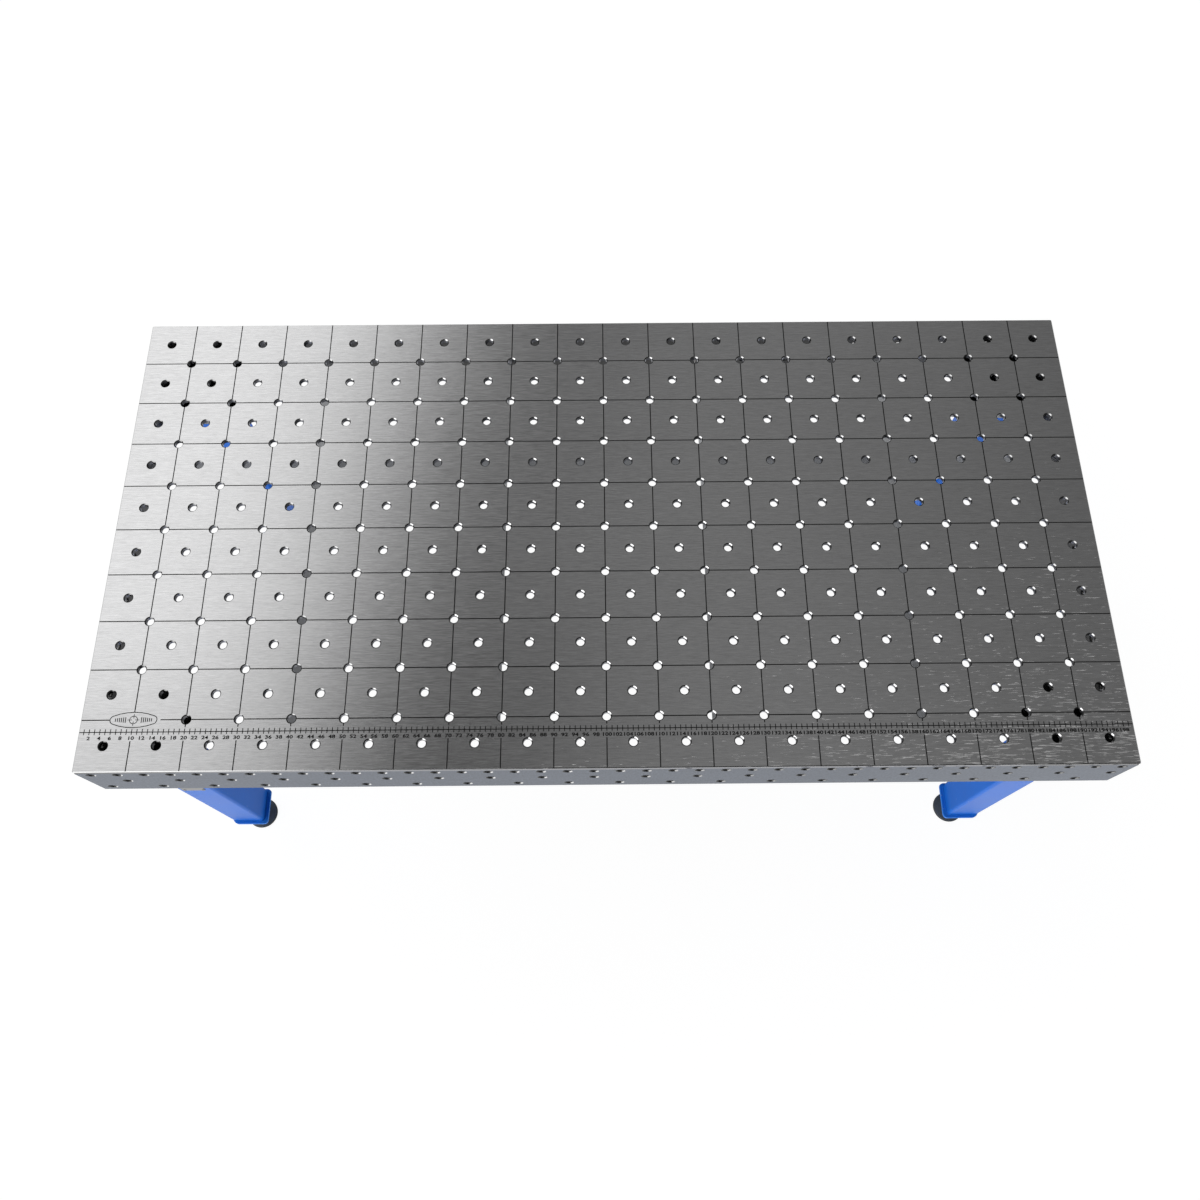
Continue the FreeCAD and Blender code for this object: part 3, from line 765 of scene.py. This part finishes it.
def datum_mark():
    """Mark at the front left: a ring, an open cross and six shrinking bars on each side."""
    centre_x, centre_y = X0 + 0.100, -0.400
    ring_inner, ring_outer, segments = 0.0068, 0.0081, 48
    arm_half_width, arm_start, arm_end = 0.00060, 0.0030, 0.0115
    bar_start, bar_pitch, bar_half_width = 0.0152, 0.0038, 0.00085
    bar_half_length, bar_shrink = 0.0056, 0.0005
    shape = Shape()
    for j in range(segments):
        angle = 2 * math.pi * j / segments
        for radius, z in ((ring_inner, MARK_Z0), (ring_outer, MARK_Z0),
                          (ring_outer, MARK_Z1), (ring_inner, MARK_Z1)):
            shape.verts.append((centre_x + radius * math.cos(angle),
                                centre_y + radius * math.sin(angle), z))
    for j in range(segments):
        a, b = 4 * j, 4 * ((j + 1) % segments)
        for i in range(4):
            following = (i + 1) % 4
            shape.faces.append((a + i, b + i, b + following, a + following))

    def flat_bar(x_from, x_to, y_from, y_to):
        shape.bar((centre_x + x_from, centre_y + y_from, MARK_Z0),
                  (centre_x + x_to, centre_y + y_to, MARK_Z1))

    flat_bar(-arm_end, -arm_start, -arm_half_width, arm_half_width)
    flat_bar(arm_start, arm_end, -arm_half_width, arm_half_width)
    flat_bar(-arm_half_width, arm_half_width, arm_start, arm_end)
    flat_bar(-arm_half_width, arm_half_width, -arm_end, -arm_start)
    for side in (-1, 1):
        for i in range(6):
            x = side * (bar_start + bar_pitch * i)
            half = bar_half_length - bar_shrink * i
            flat_bar(x - bar_half_width, x + bar_half_width, -half, half)
    build("datum_mark", shape, MARK)


scale_ticks()
scale_numbers()
datum_mark()


# ---------------------------------------------------------------- welds
UP, DOWN = Vector((0, 0, 1)), Vector((0, 0, -1))
BEAD_STEPS = 6  # across the face of a bead
BEAD_BULGE = 0.42  # 0 is a flat face, 1 a round one
BEAD_ROOT = 0.0004  # how far the root sinks into the joint
END_TAPER = (0.25, 0.72, 0.92)  # size of the first sections at an open end
RIB_BEAD = 0.0042
SKIRT_BEAD = MOUNT_BEAD = 0.0045
SEAM_BEAD = 0.0050
WELD_GAP = 0.014  # stitches keep this far from a crossing rib


def bead(shape, points, sides, rise, size, pitch=0.0030, closed=False):
    """A rippled fillet weld along points.

    sides (one per point) and rise point away from the joint along the two surfaces.
    """
    count, start, run = len(points), len(shape.verts), 0.0
    for i, point in enumerate(points):
        if i:
            run += (point - points[i - 1]).length
        side = sides[i]
        taper = 1.0
        if not closed:
            from_end = min(i, count - 1 - i)
            taper = END_TAPER[from_end] if from_end < len(END_TAPER) else 1.0
        shape.verts.append(tuple(point - (side + rise) * BEAD_ROOT))
        for j in range(BEAD_STEPS + 1):
            t = j / BEAD_STEPS
            angle = t * math.pi / 2
            belly = math.sin(math.pi * t)
            wave = math.cos(2 * math.pi * (run / pitch + 0.38 * belly))
            reach = size * taper * (1.0 + 0.055 * wave * belly)
            # slow unevenness along the run
            reach *= 1.0 + 0.05 * math.sin(run * 131.0 + 1.3) + 0.03 * math.sin(run * 57.0)
            flat = side * (1 - t) + rise * t
            arc = side * math.cos(angle) + rise * math.sin(angle)
            face_point = flat * (1 - BEAD_BULGE) + arc * BEAD_BULGE
            shape.verts.append(tuple(point + face_point * reach))
    section = BEAD_STEPS + 2
    for i in range(count if closed else count - 1):
        here, ahead = start + i * section, start + ((i + 1) % count) * section
        for j in range(section):
            k = (j + 1) % section
            shape.faces.append((here + j, ahead + j, ahead + k, here + k))
    if not closed:
        shape.faces.append(tuple(start + j for j in range(section)))
        shape.faces.append(tuple(start + (count - 1) * section + j
                                 for j in reversed(range(section))))


def straight(shape, begin, end, side, rise, size, step=0.0010):
    """A straight bead; side and rise are (x, y, z) directions."""
    begin, end = Vector(begin), Vector(end)
    count = max(6, int((end - begin).length / step))
    points = [begin.lerp(end, i / count) for i in range(count + 1)]
    bead(shape, points, [Vector(side)] * len(points), Vector(rise), size)


def stitches(low, high, length, gap):
    """Start and end of each short weld along a run, spread evenly."""
    total = high - low
    count = max(1, int((total + gap) / (length + gap)))
    free = (total - count * length) / (count + 1)
    spans, begin = [], low + free
    for _ in range(count):
        spans.append((begin, begin + length))
        begin += length + free
    return spans


def meets(begin, end, low, high):
    return begin < high + WELD_GAP and end > low - WELD_GAP


def rounded_square(centre_x, centre_y, half, radius, step=0.0014, arc_points=9):
    """Points round a square with rounded corners, and the outward direction at each."""
    quadrants = ((1, 1), (-1, 1), (-1, -1), (1, -1))
    centres = [Vector((centre_x + i * (half - radius), centre_y + j * (half - radius), 0.0))
               for i, j in quadrants]
    points, outward = [], []
    for k, centre in enumerate(centres):
        first_angle = math.pi / 2 * k
        for i in range(arc_points):
            angle = first_angle + math.pi / 2 * i / (arc_points - 1)
            direction = Vector((math.cos(angle), math.sin(angle), 0.0))
            points.append(centre + direction * radius)
            outward.append(direction)
        angle = first_angle + math.pi / 2
        direction = Vector((math.cos(angle), math.sin(angle), 0.0))
        begin = centre + direction * radius
        end = centres[(k + 1) % 4] + direction * radius
        count = int((end - begin).length / step)
        for i in range(1, count):
            points.append(begin.lerp(end, i / count))
            outward.append(direction)
    return points, outward


def leg_welds(corner):
    """Beads round the leg tube, on its base plate and under its flange."""
    low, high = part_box(corner + "_leg_tube")
    points, outward = rounded_square((low.x + high.x) / 2, (low.y + high.y) / 2,
                                     half=(high.x - low.x) / 2, radius=0.008)
    shape = Shape()
    for z, rise, plate, size in ((low.z, UP, "_leg_base", 0.0024),
                                 (high.z, DOWN, "_leg_flange", 0.0042)):
        plate_low, plate_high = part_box(corner + plate)
        # the toe of the weld stops 0.9 mm short of the plate's edge
        left, right, front, rear = (
            min(1.0, max(0.05, (margin - 0.0009) / size))
            for margin in (low.x - plate_low.x, plate_high.x - high.x,
                           low.y - plate_low.y, plate_high.y - high.y))
        toes = [Vector((out.x * (left if out.x < 0 else right),
                        out.y * (front if out.y < 0 else rear), 0.0)) for out in outward]
        ring = [Vector((point.x, point.y, z)) for point in points]
        bead(shape, ring, toes, rise, size, pitch=0.0034, closed=True)
    build(corner + "_leg_welds", shape, MATERIALS["blue_powder_coat"],
          smooth_angle=60.0)


def rib_welds(ribs, spine_low, spine_high):
    """Ribs to the top plate, to the skirts and to the long rib."""
    shape = Shape()
    stitch = {"length": 0.045, "gap": 0.11}
    end_gap, upright_from, upright_to = 0.03, 0.012, 0.060
    for low, high in ribs:
        for side, x in ((-1, low.x), (1, high.x)):
            for begin, end in stitches(low.y + end_gap, high.y - end_gap, **stitch):
                if not meets(begin, end, spine_low.y, spine_high.y):
                    straight(shape, (x, begin, PLATE_Z), (x, end, PLATE_Z), (side, 0, 0), DOWN,
                             RIB_BEAD)
            # upright welds at the front and rear skirts, then where the long rib crosses
            for y, facing, foot in ((low.y, 1, SKIRT_Z0), (high.y, -1, SKIRT_Z0),
                                    (spine_low.y, -1, spine_low.z),
                                    (spine_high.y, 1, spine_low.z)):
                straight(shape, (x, y, foot + upright_from), (x, y, foot + upright_to),
                         (side, 0, 0), (0, facing, 0), RIB_BEAD)
    for side, y in ((-1, spine_low.y), (1, spine_high.y)):
        for begin, end in stitches(spine_low.x + end_gap, spine_high.x - end_gap, **stitch):
            if not any(meets(begin, end, low.x, high.x) for low, high in ribs):
                straight(shape, (begin, y, PLATE_Z), (end, y, PLATE_Z), (0, side, 0), DOWN,
                         RIB_BEAD)
    build("rib_welds", shape, WELD, smooth_angle=60.0)


def skirt_welds(ribs, spine_low, spine_high):
    """Skirts to the top plate, and the upright seams where two skirts meet."""
    shape = Shape()
    stitch = {"length": 0.040, "gap": 0.06}
    corner_gap, seam_gap = 0.17, 0.014
    front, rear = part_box("front_skirt")[1].y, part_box("rear_skirt")[0].y
    left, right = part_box("left_skirt")[1].x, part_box("right_skirt")[0].x
    for y, facing in ((front, 1), (rear, -1)):
        for begin, end in stitches(left + corner_gap, right - corner_gap, **stitch):
            if not any(meets(begin, end, low.x, high.x) for low, high in ribs):
                straight(shape, (begin, y, PLATE_Z), (end, y, PLATE_Z), (0, facing, 0), DOWN,
                         SKIRT_BEAD)
    for x, side in ((left, 1), (right, -1)):
        for begin, end in stitches(front + corner_gap, rear - corner_gap, **stitch):
            if not meets(begin, end, spine_low.y, spine_high.y):
                straight(shape, (x, begin, PLATE_Z), (x, end, PLATE_Z), (side, 0, 0), DOWN,
                         SKIRT_BEAD)
        for y, facing in ((front, 1), (rear, -1)):
            straight(shape, (x, y, SKIRT_Z0 + seam_gap), (x, y, PLATE_Z - seam_gap),
                     (side, 0, 0), (0, facing, 0), SEAM_BEAD)
    build("skirt_welds", shape, WELD, smooth_angle=60.0)


def mount_plate_welds():
    """Upper outer edges of the mount plates to the skirts."""
    shape = Shape()
    inner_gap, outer_gap = 0.012, 0.020
    for corner in CORNERS:
        low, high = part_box(corner + "_mount_plate")
        side, facing = (-1 if high.x < 0 else 1), (-1 if high.y < 0 else 1)
        inner_x, outer_x = (high.x, low.x) if side < 0 else (low.x, high.x)
        inner_y, outer_y = (high.y, low.y) if facing < 0 else (low.y, high.y)
        begin, end = sorted((inner_x + side * inner_gap, outer_x - side * outer_gap))
        straight(shape, (begin, outer_y, high.z), (end, outer_y, high.z), (0, -facing, 0), UP,
                 MOUNT_BEAD)
        begin, end = sorted((inner_y + facing * inner_gap, outer_y - facing * outer_gap))
        straight(shape, (outer_x, begin, high.z), (outer_x, end, high.z), (-side, 0, 0), UP,
                 MOUNT_BEAD)
    # near black welds as painted shade inside the corner boxes
    build("mount_plate_welds", shape, BOX_SHADE_BLACK, smooth_angle=60.0)


for corner_name in CORNERS:
    leg_welds(corner_name)
rib_boxes = [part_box(name + "_rib")
             for name in ("left_outer", "left_inner", "right_inner", "right_outer")]
long_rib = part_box("longitudinal_rib")
rib_welds(rib_boxes, *long_rib)
skirt_welds(rib_boxes, *long_rib)
mount_plate_welds()


# ---------------------------------------------------------------- studio
def floor():
    """A large pale floor that glows; for light on the table its glow carries a painted shadow of
    the table, dimmer right beneath it.
    """
    half = 60.0
    mesh = bpy.data.meshes.new("studio_floor")
    mesh.from_pydata([(-half, -half, 0), (half, -half, 0), (half, half, 0), (-half, half, 0)],
                     [], [(0, 1, 2, 3)])
    obj = bpy.data.objects.new("studio_floor", mesh)
    bpy.context.scene.collection.objects.link(obj)
    obj.location.z = CAD_LO.z - 0.0002
    mat = Material("pale_floor")
    ray = mat.camera_ray()
    x, y, _ = mat.point_axes()
    seen = mat.noise(scale=3.0, detail=3.0).vary(swing=0.006, around=0.93)
    # painted shadow of the table in the glow seen by light rays, less deep towards the left
    inside_x = abs(x).fade(start=HALF_X + 0.05, end=HALF_X - 0.05, smooth=True)
    inside_y = abs(y).fade(start=HALF_Y + 0.03, end=HALF_Y - 0.05, smooth=True)
    shadow_depth_painted = x.fade(start=-0.15, end=-0.55, low=0.72, high=0.60, smooth=True)
    glow_with_painted_shadow = 1.0 - (inside_x * inside_y) * shadow_depth_painted
    strength = mat.mix_value(ray, glow_with_painted_shadow, seen)
    emission = mat.signal("Emission", {"Color": (1.0, 1.0, 1.0, 1.0), "Strength": strength})
    albedo = mat.mix_value(ray, 0.25, 0.20)
    diffuse = mat.signal("BsdfDiffuse", {"Color": mat.grey(albedo)})
    mat.show(mat.signal("AddShader", {0: emission, 1: diffuse}))
    mesh.materials.append(mat.owner)


# brightness across the ceiling, from the soft box on the left to the dim right side:
# place across, brightness
CEILING = (
    (-0.60, 0.79), (-0.47, 0.76), (-0.42, 0.69), (-0.375, 0.52), (-0.325, 0.285),
    (-0.275, 0.135), (-0.225, 0.098), (-0.18, 0.103), (-0.05, 0.146), (0.10, 0.140),
    (0.25, 0.122), (0.40, 0.100), (0.60, 0.095),
)
CEILING_HALF = 0.60


def world():
    studio = bpy.data.worlds.new("studio")
    bpy.context.scene.world = studio
    sky = Graph(studio, "OutputWorld")
    x, y, z = sky.axes(sky.signal("TexCoord", output="Generated"))
    # the view direction, carried on to a level ceiling
    height = z.maximum(0.02)
    ceiling_x = x / height
    ceiling_y = (y / height).maximum(-3.0).minimum(3.0)
    across = ceiling_y.times(-0.195, plus=ceiling_x)
    place = across.fade(start=-CEILING_HALF, end=CEILING_HALF)
    ramp = sky.node("ValToRGB", {0: place})
    stops = ramp.color_ramp.elements
    while len(stops) > 1:
        stops.remove(stops[-1])
    for i, (at, value) in enumerate(CEILING):
        position = (at + 0.60) / 1.20
        stop = stops.new(position) if i else stops[0]
        stop.position = position
        stop.color = (value, value, value, 1.0)
    level = sky.signal("SeparateColor", {0: Signal(sky, ramp.outputs[0])})

    # corrections away from the rear: darker left of the middle, brighter on the right,
    # darker at the front of the soft box
    low = ceiling_y.fade(start=0.44, end=0.22)
    dip = (across.fade(start=-0.34, end=-0.24) * across.fade(start=-0.02, end=-0.12)) * low
    rise = across.fade(start=0.0, end=0.12) * low
    front = across.fade(start=-0.30, end=-0.42) * ceiling_y.fade(start=0.34, end=0.22)
    for mask, change in ((dip, -0.38), (rise, 0.16), (front, -0.24)):
        level = level * mask.times(change, plus=1.0)
    overhead = level * (1.0 / 0.60)

    # near the horizon all is dark except one low soft box at the front left
    box = (x.fade(start=-0.20, end=-0.36, smooth=True)
           * y.fade(start=-0.08, end=-0.26, smooth=True))
    horizon = box.times(1.75, plus=0.06)
    near = z.fade(start=0.56, end=0.44, smooth=True)
    light = sky.mix_value(near, overhead, horizon)
    shown = sky.mix_value(sky.camera_ray(), light, 0.97)
    sky.show(sky.signal("Background", {"Color": sky.grey(shown), "Strength": 1.0}))


def camera():
    """Looks down on the table from above its front edge."""
    lens = bpy.data.cameras.new("view")
    obj = bpy.data.objects.new("view", lens)
    bpy.context.scene.collection.objects.link(obj)
    centre = Vector(((X0 + X1) / 2, (Y0 + Y1) / 2, TOP_Z))
    offset = Vector((-0.0117368, -0.9458866, 1.9910919))
    turn = Vector((0.3942, -0.0012, -0.0085))  # axis times angle in radians
    rotation = Matrix.Rotation(turn.length, 4, turn.normalized())
    obj.matrix_world = Matrix.Translation(centre + offset) @ rotation
    lens.sensor_width = 36.0
    lens.lens = 32.268777
    lens.shift_x = -0.0020785
    lens.shift_y = -0.01740225
    lens.clip_start = 0.05
    lens.clip_end = 300.0
    bpy.context.scene.camera = obj


floor()
world()
camera()
bpy.context.scene.view_settings.view_transform = "Standard"
bpy.context.scene.view_settings.look = "None"
